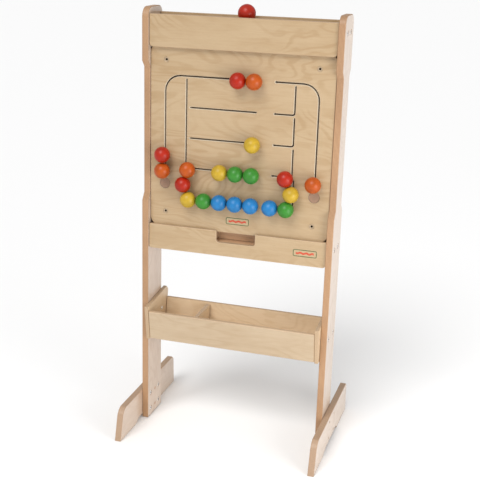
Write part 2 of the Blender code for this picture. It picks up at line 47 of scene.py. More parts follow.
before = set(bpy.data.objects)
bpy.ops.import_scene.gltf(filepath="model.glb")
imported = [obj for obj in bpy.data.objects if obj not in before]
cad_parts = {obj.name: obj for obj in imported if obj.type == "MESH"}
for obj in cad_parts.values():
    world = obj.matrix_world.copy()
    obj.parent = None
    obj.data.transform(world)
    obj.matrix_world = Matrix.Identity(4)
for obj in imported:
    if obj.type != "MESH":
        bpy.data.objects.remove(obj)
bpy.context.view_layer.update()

X, Y, Z = Vector((1, 0, 0)), Vector((0, 1, 0)), Vector((0, 0, 1))


def span(node, axis):
    """Size of a frame node along an axis, 0 to 2."""
    low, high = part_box(node)
    return high[axis] - low[axis]


def middle(node):
    low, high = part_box(node)
    return (low + high) / 2


BEAD_NODES = [name for name in sorted(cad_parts) if name.startswith("bead_")]
FOOT_BOLT_NODES = [name for name in sorted(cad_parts) if "_foot_bolt_" in name]
TRAY_BOLT_NODES = [name for name in sorted(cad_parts) if "_tray_bolt_" in name]
PANEL_BOLT_NODES = [name for name in sorted(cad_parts) if name.startswith("panel_bolt_")]
BEAD_COLOURS = ("red", "orange", "yellow", "green", "blue")
SIDES = {"left": -1, "right": 1}
EASE = 0.0006    # chamfer at the ends of turned pieces


# ---- values a user may change -----------------------------------------------------------------
def length(name, description, default):
    return FloatProperty(name=name, description=description, default=default, min=0, subtype="DISTANCE",
                         unit="LENGTH", precision=4)


def colour(name, description, default):
    return FloatVectorProperty(name=name, description=description, default=default, size=3, min=0, max=1,
                               subtype="COLOR")


def numbers(name, description, default, **kind):
    return FloatVectorProperty(name=name, description=description, default=default, size=len(default),
                               **kind)


def share(name, description, default):
    return FloatProperty(name=name, description=description, default=default, min=0, max=1,
                         subtype="FACTOR")


class StandWood(bpy.types.PropertyGroup):
    face: colour("Face", "Lacquered birch veneer of the panel and rails", (0.450, 0.325, 0.192))
    face_warm: colour("Face figure", "Darker, warmer parts of that veneer", (0.375, 0.250, 0.130))
    # The tray front's tones are painted light: the same birch veneer made a little paler than the panel's
    # face, to stand in for the brighter light low on the stand.
    tray: colour("Tray front", "Paler veneer of the tray's front", (0.49, 0.375, 0.25))
    tray_warm: colour("Tray front figure", "Darker parts of that veneer", (0.41, 0.295, 0.18))
    # The tray inside's tones are painted light: the same birch veneer made far paler than the panel's face,
    # to stand in for the light that falls into the tray.
    bright: colour("Tray inside", "The palest veneer, on the tray's other boards", (0.68, 0.52, 0.345))
    bright_warm: colour("Tray inside figure", "Darker parts of that veneer", (0.59, 0.425, 0.255))
    side: colour("Side face", "Veneer of the uprights and feet", (0.60, 0.475, 0.375))
    side_warm: colour("Side figure", "Darker parts of that veneer", (0.52, 0.385, 0.285))
    inner: colour("Inner boards", "Veneer of the shelf and of the panel's back", (0.60, 0.37, 0.21))
    long_ply: colour("Long ply", "Edge of an upright's ply whose grain runs along it", (0.49, 0.300, 0.165))
    cross_ply: colour("Cross ply", "Edge of an upright's ply seen on its end grain", (0.33, 0.175, 0.085))
    thin_long_ply: colour("Thin long ply", "Long ply of the thin boards", (0.54, 0.395, 0.25))
    thin_cross_ply: colour("Thin cross ply", "Cross ply of the thin boards", (0.41, 0.275, 0.16))
    foot_long_ply: colour("Foot long ply", "Long ply of the feet", (0.46, 0.315, 0.205))
    foot_cross_ply: colour("Foot cross ply", "Cross ply of the feet", (0.36, 0.23, 0.145))
    # The track walls' pale tone is painted light: much paler than the plies they cut through, to stand in
    # for light reaching into the narrow tracks.
    track_wall_painted_light: colour("Routed wall", "Walls of the tracks cut in the panel", (0.74, 0.64, 0.50))
    plug: colour("Plug", "End grain of the round plugs", (0.33, 0.20, 0.13))
    roughness: share("Roughness", "Roughness of the satin lacquer", 0.42)
    ply: length("Ply", "Thickness of one ply", 0.00135)
    rounding: length("Rounding", "Radius of the frame boards' eased edges", 0.0014)
    thin_rounding: length("Thin rounding", "Radius of the thin boards' eased edges", 0.0012)
    track_ease: length("Track ease", "Width of the chamfer along the tracks", 0.0007)
    panel_rim: length("Panel rim", "Band along the panel's outline that has rounded edges", 0.0145)


class StandPaint(bpy.types.PropertyGroup):
    red: colour("Red", "Red paint", (0.37, 0.014, 0.002))
    orange: colour("Orange", "Orange paint", (0.43, 0.072, 0.004))
    yellow: colour("Yellow", "Yellow paint", (0.50, 0.325, 0.024))
    green: colour("Green", "Green paint", (0.037, 0.215, 0.024))
    blue: colour("Blue", "Blue paint", (0.016, 0.175, 0.43))
    roughness: share("Roughness", "Roughness of the paint under its gloss coat", 0.45)
    specular: share("Specular", "Specular level of the paint itself", 0.12)
    coat: share("Gloss coat", "Weight of the gloss coat", 0.40)
    coat_roughness: share("Coat roughness", "Roughness of the gloss coat", 0.30)


class StandBall(bpy.types.PropertyGroup):
    sides: IntProperty(name="Sides", description="Divisions round a ball", default=56, min=16)
    shank: length("Shank", "Radius of a bead's shank", 0.00145)
    keeper: length("Keeper", "Radius of the disc that keeps a bead in its track", 0.0110)
    keeper_gap: length("Keeper gap", "Room between a keeper and the board in front of it", 0.0006)
    neck: length("Neck", "Radius of the lock knob's neck", 0.0070)


class StandMetal(bpy.types.PropertyGroup):
    colour: colour("Zinc", "Bright zinc plating", (0.95, 0.94, 0.92))
    brass: colour("Brass", "Warm plating of the panel's countersunk bolts", (0.56, 0.43, 0.29))
    # The two socket colours are painted shade: the metal inside a hexagon socket is darkened to stand in
    # for the shade of the recess.
    dark: colour("Zinc socket", "Shaded metal in a zinc bolt's socket", (0.20, 0.19, 0.18))
    brass_socket_shade: colour("Brass socket", "Shaded metal in a brass bolt's socket", (0.014, 0.009, 0.006))
    roughness: share("Roughness", "Roughness of the zinc", 0.38)
    brass_roughness: share("Brass roughness", "Roughness of the brass", 0.48)
    socket_roughness: share("Socket roughness", "Roughness inside the sockets", 0.6)
    socket: length("Socket", "Radius of a zinc bolt's hexagon socket across its corners", 0.0022)
    wide_socket: length("Wide socket", "The same in the panel's bolts", 0.0028)
    socket_depth: length("Socket depth", "Depth of a hexagon socket", 0.0026)
    shank: length("Shank", "Radius of the bolts' shanks", 0.003)
    head: length("Head", "Height of the bolts' heads", 0.0032)
    rail_bolt: length("Rail bolt", "Radius of the rail bolts' heads", 0.0055)
    rail_head: length("Rail bolt head", "Height of the rail bolts' heads", 0.0030)
    top_spread: length("Top spread", "Upper rail bolts' distance from the middle plane", 0.018)
    low_spread: length("Low spread", "Lower rail bolts' distance from the middle plane", 0.019)
    low_height: length("Low height", "Height of the lower rail bolts", 0.490)
    nut: length("Nut", "Radius of the tray's cap nuts", 0.0050)
    dowel: length("Dowel", "Radius of the dowels in the uprights", 0.0042)
    dowel_back: length("Dowel place", "How far the dowels sit behind the middle plane", 0.003)


class StandBadge(bpy.types.PropertyGroup):
    size: numbers("Size", "Width and height", (0.0553, 0.0164), unit="LENGTH")
    on_panel: numbers("On the panel", "Place across and up", (0.001, 0.5358), unit="LENGTH")
    on_rail: numbers("On the rail", "Place across and up", (0.1662, 0.481), unit="LENGTH")
    thickness: length("Thickness", "Thickness of the plate", 0.0005)
    corner: length("Corner", "Radius of the plate's corners", 0.0034)
    relief: length("Relief", "Drop of the field, and height of the wavy bar", 0.0002)
    rim: length("Rim", "Width of the green rim", 0.0014)
    outline: colour("Outline", "Green rim", (0.05, 0.10, 0.03))
    ground: colour("Ground", "Field inside the rim", (0.43, 0.32, 0.185))
    wave: colour("Wave", "Plain wavy bar", (0.52, 0.06, 0.025))


class StandStudio(bpy.types.PropertyGroup):
    position: numbers("Camera", "Place of the camera", (0.6369, -2.1725, 1.1778), unit="LENGTH")
    yaw: FloatProperty(name="Yaw", description="Turn of the view to the left", default=-0.3084,
                       subtype="ANGLE")
    pitch: FloatProperty(name="Pitch", description="Tilt of the view upwards", default=-0.3177,
                         subtype="ANGLE")
    roll: FloatProperty(name="Roll", description="Turn of the camera about its view", default=0.0232,
                        subtype="ANGLE")
    lens: FloatProperty(name="Lens", description="Focal length in millimetres", default=75.25)
    shift: numbers("Shift", "Shift of the lens", (0.0474, 0.0403))
    floor: colour("Floor", "Pale floor", (0.91, 0.91, 0.91))
    key: FloatProperty(name="Key light", description="Strength of the broad light in front", default=1.95)
    key_place: numbers("Key place", "Where the key light comes from", (-0.42, -1.98, 2.22), unit="LENGTH")
    key_width: FloatProperty(name="Key width", description="Angle that the key light fills",
                             default=radians(34), subtype="ANGLE")
    side: FloatProperty(name="Side light", description="Power of the large light on the right",
                        default=17.0, unit="POWER")
    side_place: numbers("Side place", "Place of the side light", (1.5, -0.95, 0.55), unit="LENGTH")
    side_aim: numbers("Side aim", "Where the side light points", (0.0, 0.0, 0.4), unit="LENGTH")
    side_size: length("Side size", "Width of the side light", 1.1)
    sky: FloatProperty(name="Surround", description="Strength of the white surround", default=0.62)


def settings(group):
    return getattr(bpy.context.scene, group)


# ---- selecting and shaping --------------------------------------------------------------------
def only(piece):
    """Makes a piece the active object and the only one selected."""
    bpy.ops.object.select_all(action="DESELECT")
    piece.select_set(True)
    bpy.context.view_layer.objects.active = piece


@contextmanager
def shaping(piece):
    """Edit mode on one piece, with nothing selected at the start."""
    only(piece)
    bpy.ops.object.mode_set(mode="EDIT")
    bpy.ops.mesh.select_all(action="DESELECT")
    yield
    bpy.ops.object.mode_set(mode="OBJECT")


def choose(piece, kind, test):
    """In edit mode, selects only the elements of a kind, EDGE or FACE, that pass the test."""
    bpy.ops.mesh.select_mode(type=kind)
    bpy.ops.mesh.select_all(action="DESELECT")
    sheet = bmesh.from_edit_mesh(piece.data)
    for element in {"EDGE": sheet.edges, "FACE": sheet.faces}[kind]:
        if test(element):
            element.select_set(True)
    sheet.select_flush_mode()
    bmesh.update_edit_mesh(piece.data)


def edge_middle(edge):
    return (edge.verts[0].co + edge.verts[1].co) / 2


def sharp(edge):
    """Whether two faces meet at an edge and turn by more than 50 degrees there."""
    return len(edge.link_faces) == 2 and edge.calc_face_angle(0) > radians(50)


def apply_modifier(piece, kind, **values):
    only(piece)
    modifier = piece.modifiers.new(kind.lower(), kind)
    for key, value in values.items():
        setattr(modifier, key, value)
    bpy.ops.object.modifier_apply(modifier=modifier.name)


def smooth(piece, angle=30):
    """Smooth shading over shallow angles, with flat faces kept flat."""
    only(piece)
    bpy.ops.object.shade_smooth_by_angle(angle=radians(angle))
    apply_modifier(piece, "WEIGHTED_NORMAL", keep_sharp=True)


def settle(piece, name):
    """Names a piece and moves its place into its mesh, with its faces pointing out."""
    piece.name = name
    piece.data.name = name
    only(piece)
    bpy.ops.object.transform_apply(location=True, rotation=True, scale=True)
    with shaping(piece):
        bpy.ops.mesh.select_all(action="SELECT")
        bpy.ops.mesh.normals_make_consistent(inside=False)
    return piece


def new_primitive(kind, **values):
    """Adds a mesh primitive with nothing else selected."""
    bpy.ops.object.select_all(action="DESELECT")
    getattr(bpy.ops.mesh, f"primitive_{kind}_add")(**values)
    return bpy.context.object


def drawn_out(radius, height, rings):
    """In edit mode, extrudes the selection ring by ring through (radius, height) pairs."""
    for next_radius, next_height in rings:
        bpy.ops.mesh.extrude_region_move(TRANSFORM_OT_translate={"value": (0, 0, next_height - height)})
        ratio = next_radius / radius
        bpy.ops.transform.resize(value=(ratio, ratio, 1), center_override=(0, 0, next_height))
        radius, height = next_radius, next_height


def turned(name, rings, place, rotation, sides=32):
    """A round piece: a disc at the first (radius, height) pair, extruded through the others."""
    radius, height = rings[0]
    piece = new_primitive("circle", vertices=sides, radius=radius, fill_type="NGON")
    with shaping(piece):
        bpy.ops.mesh.select_all(action="SELECT")
        bpy.ops.transform.translate(value=(0, 0, height))
        drawn_out(radius, height, rings[1:])
    piece.location = place
    piece.rotation_euler = rotation
    return settle(piece, name)


def hexagon_socket(piece, mouth, direction, radius, depth):
    """Cuts a hexagon socket into a piece, from the mouth's middle along a direction."""
    over = 0.001
    tool = new_primitive("cylinder", vertices=6, radius=radius, depth=depth + over,
                         location=mouth + direction * (depth - over) / 2,
                         rotation=direction.to_track_quat("Z", "Y").to_euler())
    apply_modifier(piece, "BOOLEAN", operation="DIFFERENCE", object=tool)
    bpy.data.objects.remove(tool)


def duplicate(piece, name, offset):
    """A copy with its own mesh, moved by an offset."""
    copy = bpy.data.objects.new(name, piece.data.copy())
    copy.data.name = name
    bpy.context.scene.collection.objects.link(copy)
    copy.data.transform(Matrix.Translation(offset))
    return copy


def paint(piece, *materials):
    piece.data.materials.clear()
    for material in materials:
        piece.data.materials.append(material)


def belongs(piece, body, slot, *nodes):
    """Hangs a piece on the empty of the body that it rides on, and hides the frame nodes that it stands
    for. The slot is not used.
    """
    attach(piece, body)
    if nodes:
        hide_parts(*nodes)


# ---- finishes ---------------------------------------------------------------------------------
def shaded(tint, amount):
    """A tint with every channel multiplied by an amount."""
    return [amount * channel for channel in tint]


def shared_finish(name, make, *values):
    """A finish that several pieces share, made the first time it is asked for."""
    return bpy.data.materials.get(name) or make(name, *values)


def new_finish(name, roughness, **sockets):
    """A material with its uniform values set on the shader's own sockets."""
    material = bpy.data.materials.new(name)
    material.use_nodes = True
    shader = material.node_tree.nodes["Principled BSDF"]
    shader.inputs["Roughness"].default_value = roughness
    for socket, value in sockets.items():
        shader.inputs[socket.replace("_", " ")].default_value = value
    return material, material.node_tree, shader


def node(tree, kind, inputs=None, **values):
    """Adds a shader node; inputs gives each socket a value or another node's output."""
    made = tree.nodes.new("ShaderNode" + kind)
    for key, value in values.items():
        setattr(made, key, value)
    for key, value in (inputs or {}).items():
        if isinstance(value, bpy.types.NodeSocket):
            tree.links.new(value, made.inputs[key])
        else:
            made.inputs[key].default_value = value
    return made


def math(tree, operation, first, second=0.0, third=0.0):
    return node(tree, "Math", {0: first, 1: second, 2: third}, operation=operation).outputs[0]


def noise(tree, vector, scale=1.0, detail=2.0, roughness=0.5, distortion=0.0):
    return node(tree, "TexNoise", {"Vector": vector, "Scale": scale, "Detail": detail,
                                   "Roughness": roughness, "Distortion": distortion}).outputs["Fac"]


def ramp(tree, value, low, high):
    """0 below low and 1 above high, smooth between."""
    return node(tree, "MapRange", {"Value": value, "From Min": low, "From Max": high},
                interpolation_type="SMOOTHSTEP").outputs["Result"]


def mix(tree, factor, first, second):
    """A blend from the first colour to the second; each is a value or another node's output."""
    made = node(tree, "Mix", {"Factor": factor}, data_type="RGBA")
    for index, value in ((6, first), (7, second)):
        if isinstance(value, bpy.types.NodeSocket):
            tree.links.new(value, made.inputs[index])
        else:
            made.inputs[index].default_value = (*value, 1)
    return made.outputs[2]


def grain_vector(tree, grain, seed):
    """Object coordinates turned so that the grain runs along X, and shifted so boards differ."""
    turn = {"X": (0, 0, 0), "Y": (0, 0, -pi / 2), "Z": (0, pi / 2, 0)}[grain]
    place = node(tree, "TexCoord").outputs["Object"]
    return node(tree, "Mapping", {"Vector": place, "Rotation": turn,
                                  "Location": (seed * 1.37, seed * 0.71, seed * 0.43)}).outputs[0]


def stretched(tree, vector, along, across):
    return node(tree, "Mapping", {"Vector": vector, "Scale": (along, across, across)}).outputs[0]


def veneer(name, pale, warm, grain, seed, figure=1.0, glossy=False):
    """Lacquered birch: broad flowing figure, fine fibres and short dark pores along the grain."""
    wood = settings("stand_wood")
    material, tree, shader = new_finish(name, wood.roughness, Coat_Weight=0.75 if glossy else 0.12,
                                        Coat_Roughness=0.25)
    place = grain_vector(tree, grain, seed)
    flow = noise(tree, stretched(tree, place, along=3.4, across=9.0), detail=3.0, roughness=0.45,
                 distortion=0.4)
    rings = math(tree, "SINE", math(tree, "MULTIPLY", flow, 115.0))
    gaps = noise(tree, stretched(tree, place, along=5.0, across=12.0), detail=1.0)
    lines = math(tree, "MULTIPLY", ramp(tree, rings, -0.2, 1.0), ramp(tree, gaps, 0.30, 0.62))
    clouds = noise(tree, stretched(tree, place, along=6.0, across=22.0), detail=4.0, roughness=0.6)
    patches = ramp(tree, clouds, 0.36, 0.70)
    fibres = noise(tree, stretched(tree, place, along=14.0, across=330.0), detail=3.0, roughness=0.6)
    specks = noise(tree, stretched(tree, place, along=75.0, across=1300.0), detail=1.0)
    pores = ramp(tree, specks, 0.64, 0.74)

    dark = math(tree, "MULTIPLY", lines, 0.55 * figure)
    dark = math(tree, "MULTIPLY_ADD", patches, 0.45, dark)
    dark = math(tree, "MULTIPLY_ADD", ramp(tree, fibres, 0.35, 0.75), 0.28, dark)
    toned = mix(tree, math(tree, "MINIMUM", dark, 1.0), pale, warm)
    flecked = mix(tree, math(tree, "MULTIPLY", pores, 0.16), toned, shaded(warm, 0.55))
    tree.links.new(flecked, shader.inputs["Base Color"])
    bump = node(tree, "Bump", {"Strength": 0.06, "Distance": 0.0004, "Height": fibres})
    tree.links.new(bump.outputs[0], shader.inputs["Normal"])
    return material


def ply_edge(name, through, start, ply, seed, long_ply, cross_ply):
    """The layered edge of a board: plies stacked along its thickness, alternately long and cross
    grained."""
    wood = settings("stand_wood")
    material, tree, shader = new_finish(name, wood.roughness + 0.08, Coat_Weight=0.08, Coat_Roughness=0.3)
    place = node(tree, "TexCoord").outputs["Object"]
    depth = node(tree, "VectorMath", {0: place, 1: through}, operation="DOT_PRODUCT").outputs["Value"]
    layer = math(tree, "DIVIDE", math(tree, "SUBTRACT", depth, start), ply)
    waver = noise(tree, place, scale=60.0)
    layer = math(tree, "MULTIPLY_ADD", math(tree, "SUBTRACT", waver, 0.5), 0.22, layer)
    wave = math(tree, "PINGPONG", layer, 1.0)
    cross = ramp(tree, wave, 0.42, 0.58)
    toned = mix(tree, cross, long_ply, cross_ply)
    shifted = node(tree, "Mapping", {"Vector": place, "Location": (seed, seed, seed)}).outputs[0]
    mottled = ramp(tree, noise(tree, shifted, scale=420.0, detail=3.0, roughness=0.7), 0.30, 0.75)
    broad = ramp(tree, noise(tree, shifted, scale=9.0), 0.35, 0.70)
    shade = math(tree, "MULTIPLY_ADD", broad, 0.25, math(tree, "MULTIPLY", mottled, 0.30))
    toned = mix(tree, shade, toned, shaded(cross_ply, 0.72))
    tree.links.new(toned, shader.inputs["Base Color"])
    bump = node(tree, "Bump", {"Strength": 0.15, "Distance": 0.0003, "Height": mottled})
    tree.links.new(bump.outputs[0], shader.inputs["Normal"])
    return material


def gloss_paint(name, tint):
    """Thick gloss paint on turned wood, slightly uneven in tone and surface."""
    gloss = settings("stand_paint")
    material, tree, shader = new_finish(name, gloss.roughness, Specular_IOR_Level=gloss.specular,
                                        Coat_Weight=gloss.coat, Coat_Roughness=gloss.coat_roughness)
    place = node(tree, "TexCoord").outputs["Object"]
    cloud = ramp(tree, noise(tree, place, scale=70.0, detail=3.0), 0.35, 0.70)
    toned = mix(tree, cloud, tint, shaded(tint, 0.82))
    tree.links.new(toned, shader.inputs["Base Color"])
    peel = noise(tree, place, scale=420.0)
    bump = node(tree, "Bump", {"Strength": 0.05, "Distance": 0.0003, "Height": peel})
    tree.links.new(bump.outputs[0], shader.inputs["Normal"])
    return material


def plating(name, tint, roughness):
    """Bright plating with a fine brushed grain."""
    material, tree, shader = new_finish(name, roughness, Metallic=1.0)
    place = node(tree, "TexCoord").outputs["Object"]
    brushed = noise(tree, place, scale=1500.0)
    toned = mix(tree, ramp(tree, brushed, 0.3, 0.7), tint, shaded(tint, 0.78))
    tree.links.new(toned, shader.inputs["Base Color"])
    bump = node(tree, "Bump", {"Strength": 0.08, "Distance": 0.0001, "Height": brushed})
    tree.links.new(bump.outputs[0], shader.inputs["Normal"])
    return material


def end_grain(name, tint, centre):
    """End grain of a plug: rings about its own middle, with open pores."""
    material, tree, shader = new_finish(name, 0.6)
    place = node(tree, "TexCoord").outputs["Object"]
    local = node(tree, "Mapping", {"Vector": place, "Location": -centre}).outputs[0]
    rings = node(tree, "TexWave", {"Vector": local, "Scale": 90.0, "Distortion": 3.0, "Detail": 3.0},
                 wave_type="RINGS", rings_direction="Y").outputs["Fac"]
    pores = ramp(tree, noise(tree, local, scale=900.0), 0.35, 0.7)
    toned = mix(tree, math(tree, "MULTIPLY", rings, 0.35), tint, shaded(tint, 0.6))
    toned = mix(tree, math(tree, "MULTIPLY", pores, 0.35), toned, shaded(tint, 1.35))
    tree.links.new(toned, shader.inputs["Base Color"])
    bump = node(tree, "Bump", {"Strength": 0.2, "Distance": 0.0003, "Height": pores})
    tree.links.new(bump.outputs[0], shader.inputs["Normal"])
    return material


def printed(name, tint):
    """A flat printed colour on the badges, a little worn."""
    material, tree, shader = new_finish(name, 0.5)
    place = node(tree, "TexCoord").outputs["Object"]
    worn = ramp(tree, noise(tree, place, scale=260.0, detail=4.0), 0.45, 0.8)
    toned = mix(tree, math(tree, "MULTIPLY", worn, 0.30), tint, settings("stand_wood").face)
    tree.links.new(toned, shader.inputs["Base Color"])
    return material


# ---- boards -----------------------------------------------------------------------------------
def rail_bolt_middles():
    """Where the rail bolts lie, across and up; the same at both ends of the rails."""
    metal = settings("stand_metal")
    spots = ((metal.top_spread, middle("top_cross_bar").z), (metal.low_spread, metal.low_height))
    return [Vector((0, side * y, z)) for side in (-1, 1) for y, z in spots]


def fixing_axes():
    """Middle of every bolt, with the axis that it lies along."""
    sideways = [middle(name) for name in FOOT_BOLT_NODES + TRAY_BOLT_NODES] + rail_bolt_middles()
    return [(centre, 0) for centre in sideways] + [(middle(name), 1) for name in PANEL_BOLT_NODES]


def near(point, axes, reach=0.0085):
    """Whether a point is within reach of any (middle, axis) line."""
    for centre, axis in axes:
        gap = point - centre
        gap[axis] = 0
        if gap.length < reach:
            return True
    return False


def board_tones(kind):
    """Pale and warm veneer, then long and cross plies, of one kind of board."""
    wood = settings("stand_wood")
    thin = (wood.thin_long_ply, wood.thin_cross_ply)
    return {"face": (wood.face, wood.face_warm, *thin),
            # Painted light: a slightly paler copy of the veneer for the tray's front.
            "tray": (wood.tray, wood.tray_warm, *thin),
            # Painted light: a far paler copy of the veneer for the boards inside the tray.
            "bright": (wood.bright, wood.bright_warm, *thin),
            "inner": (wood.inner, shaded(wood.inner, 0.8), *thin),
            "side": (wood.side, wood.side_warm, wood.long_ply, wood.cross_ply),
            "foot": (wood.side, wood.side_warm, wood.foot_long_ply, wood.foot_cross_ply)}[kind]


def finish_board(piece, name, grain, seed, kind, figure, in_rim):
    """Veneer on a board's two faces, plies on its edges, and inside its rim a pale track finish that is
    painted light.
    """
    wood = settings("stand_wood")
    through = max(piece.data.polygons, key=lambda face: face.area).normal.copy()
    reach = [vertex.co.dot(through) for vertex in piece.data.vertices]
    start, thickness = min(reach), max(reach) - min(reach)
    ply = thickness / (2 * round((thickness / wood.ply - 1) / 2) + 1)
    pale, warm, long_ply, cross_ply = board_tones(kind)
    glossy = kind in ("side", "foot")
    paint(piece, veneer(name + "_veneer", pale, warm, grain, seed, figure, glossy),
          ply_edge(name + "_plies", through, start, ply, seed, long_ply, cross_ply))
    for face in piece.data.polygons:
        flat = abs(face.normal.dot(through)) > 0.98
        face.material_index = 0 if flat else 1 if in_rim(face.center) else 2
    # The track walls and their chamfers get a pale ply finish: painted light standing in for light inside
    # the tracks.
    if any(face.material_index == 2 for face in piece.data.polygons):
        piece.data.materials.append(ply_edge(name + "_tracks", through, start, ply, seed, wood.track_wall_painted_light,
                                             shaded(wood.track_wall_painted_light, 0.8)))


def board(name, body, slot, grain, rounding, seed, kind="face", rim=None, figure=1.0):
    """A plywood board from a merged copy of its frame node, with its sharp edges rounded. Where rim
    is given, only edges that near the board's outline by that much are rounded, and the tracks inside
    it get a chamfer along their front and a pale finish that is painted light."""
    piece = bpy.data.objects.new(name + "_board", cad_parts[name].data.copy())
    piece.data.name = piece.name
    bpy.context.scene.collection.objects.link(piece)
    low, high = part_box(name)
    bolts = fixing_axes()
    plugs = [(middle(f"track_plug_{word}"), 1) for word in SIDES]
    plug_reach = span("track_plug_left", 0) / 2 + 0.001

    def in_rim(point):
        if rim is None:
            return True
        return min(point.x - low.x, high.x - point.x, point.z - low.z, high.z - point.z) < rim

    def outer_corner(edge):
        spot = edge_middle(edge)
        return sharp(edge) and in_rim(spot) and not near(spot, bolts)

    def track_lip(edge):
        spot = edge_middle(edge)
        return (sharp(edge) and not in_rim(spot) and abs(spot.y - low.y) < 1e-4
                and not near(spot, bolts) and not near(spot, plugs, plug_reach))

    with shaping(piece):
        bpy.ops.mesh.select_all(action="SELECT")
        bpy.ops.mesh.remove_doubles(threshold=1e-5)
        bpy.ops.mesh.dissolve_limited(angle_limit=radians(0.3))
        choose(piece, "EDGE", outer_corner)
        bpy.ops.mesh.bevel(offset=rounding, offset_type="OFFSET", segments=3, profile=0.5, affect="EDGES",
                           clamp_overlap=True)
        if rim is not None:
            ease = settings("stand_wood").track_ease
            choose(piece, "EDGE", track_lip)
            bpy.ops.mesh.bevel(offset=ease, offset_type="OFFSET", segments=1, affect="EDGES")
    smooth(piece, 24)
    finish_board(piece, name, grain, seed, kind, figure, in_rim)
    belongs(piece, body, slot, name)


class StandFrameBoards(bpy.types.Operator):
    """Uprights and feet, with rounded edges"""
    bl_idname = "stand.frame_boards"
    bl_label = "Uprights and feet"

    def execute(self, context):
        rounding = settings("stand_wood").rounding
        for seed, word in enumerate(SIDES):
            board(f"{word}_upright", "stand", "birch_side", "Z", rounding, 3.1 + seed, "side")
            board(f"{word}_foot", "stand", "birch_side", "Y", rounding, 5.7 + seed, "foot")
        return {"FINISHED"}


class StandRails(bpy.types.Operator):
    """Rails, cross bar and shelf between the uprights"""
    bl_idname = "stand.rails"
    bl_label = "Rails"

    def execute(self, context):
        rounding = settings("stand_wood").thin_rounding
        for seed, name in enumerate(("top_rail_front", "top_rail_rear", "bottom_rail_front",
                                     "bottom_rail_rear")):
            board(name, "stand", "birch_face", "X", rounding, 8.3 + seed)
        board("top_cross_bar", "stand", "birch_side", "X", rounding / 4, 13.2)
        board("bottom_shelf", "stand", "birch_side", "X", rounding / 4, 14.9, "inner")
        return {"FINISHED"}


class StandTray(bpy.types.Operator):
    """Storage tray: slanted front and back, ends, floor and divider"""
    bl_idname = "stand.tray"
    bl_label = "Tray"

    def execute(self, context):
        rounding = settings("stand_wood").thin_rounding
        # The tray's front takes a slightly paler tone, which is painted light.
        board("tray_front", "stand", "birch_face", "X", rounding, 16.6, "tray", figure=0.8)
        # The boards inside the tray take the far paler tones, which are painted light.
        board("tray_back", "stand", "birch_face", "X", rounding, 17.6, "bright", figure=0.8)
        for seed, name in enumerate(("tray_left_end", "tray_right_end", "tray_divider")):
            board(name, "stand", "birch_face", "Y", rounding * 0.8, 19.4 + seed, "bright", figure=0.8)
        board("tray_bottom", "stand", "birch_face", "X", rounding / 4, 23.5, "bright")
        return {"FINISHED"}


class StandPanel(bpy.types.Operator):
    """Bead-maze panel: slotted board, spacer, back board and plugs"""
    bl_idname = "stand.panel"
    bl_label = "Panel"

    def execute(self, context):
        wood = settings("stand_wood")
        board("maze_board", "panel", "birch_face", "X", wood.thin_rounding * 0.8, 31.7, rim=wood.panel_rim)
        board("spacer_frame", "panel", "birch_side", "X", wood.thin_rounding / 4, 33.1)
        board("back_board", "panel", "birch_face", "X", wood.thin_rounding / 2, 35.6, "inner")
        for word in SIDES:
            name = f"track_plug_{word}"
            centre, radius, face = middle(name), span(name, 0) / 2, span(name, 1)
            rings = [(radius, 0), (radius, face - EASE), (radius - EASE, face)]
            rear = Vector((centre.x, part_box(name)[1].y, centre.z))
            plug = turned(name + "_turned", rings, rear, (pi / 2, 0, 0), 40)
            smooth(plug)
            paint(plug, end_grain(name + "_wood", wood.plug, centre))
            belongs(plug, "panel", "plug_wood", name)
        return {"FINISHED"}


# ---- beads and knob ---------------------------------------------------------------------------
def painted_ball(name, centre, radius, back, rings):
    """A ball with its rear pole opened and drawn out, ring by ring, into its shank. back is the
    direction of the shank, and rings are (radius, distance from the ball's middle) pairs."""
    sides = settings("stand_ball").sides
    ball = new_primitive("uv_sphere", segments=sides, ring_count=sides // 2, radius=radius)
    cap = cos(2 * pi / sides) * radius
    with shaping(ball):
        choose(ball, "FACE", lambda face: min(v.co.z for v in face.verts) > cap - 1e-6)
        bpy.ops.mesh.delete(type="FACE")
        choose(ball, "EDGE", lambda edge: edge.is_boundary)
        drawn_out(radius * sin(2 * pi / sides), cap, rings)
        bpy.ops.mesh.edge_face_add()
    ball.location = centre
    ball.rotation_euler = back.to_track_quat("Z", "Y").to_euler()
    settle(ball, name)
    smooth(ball, 35)
    return ball


class StandBeads(bpy.types.Operator):
    """Twenty gloss-painted beads, each with its shank and keeper"""
    bl_idname = "stand.beads"
    bl_label = "Beads"

    def execute(self, context):
        tints, shape = settings("stand_paint"), settings("stand_ball")
        first = BEAD_NODES[0]
        low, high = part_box(first)
        radius = span(first, 0) / 2
        centre = Vector((middle(first).x, low.y + radius, middle(first).z))
        start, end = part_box("maze_board")[1].y + shape.keeper_gap - centre.y, high.y - centre.y
        shank, keeper, ease = shape.shank, shape.keeper, 0.0008
        rings = [(shank, radius), (shank, start), (keeper - ease, start), (keeper, start + ease),
                 (keeper, end - ease), (keeper - ease, end)]
        model = painted_ball("bead_model", centre, radius, Y, rings)
        for name in BEAD_NODES:
            tint = next(word for word in name.split("_") if word in BEAD_COLOURS)
            bead = duplicate(model, name + "_ball", middle(name) - middle(first))
            paint(bead, shared_finish("paint_" + tint, gloss_paint, getattr(tints, tint)))
            belongs(bead, name, tint, name)
        bpy.data.objects.remove(model)
        return {"FINISHED"}


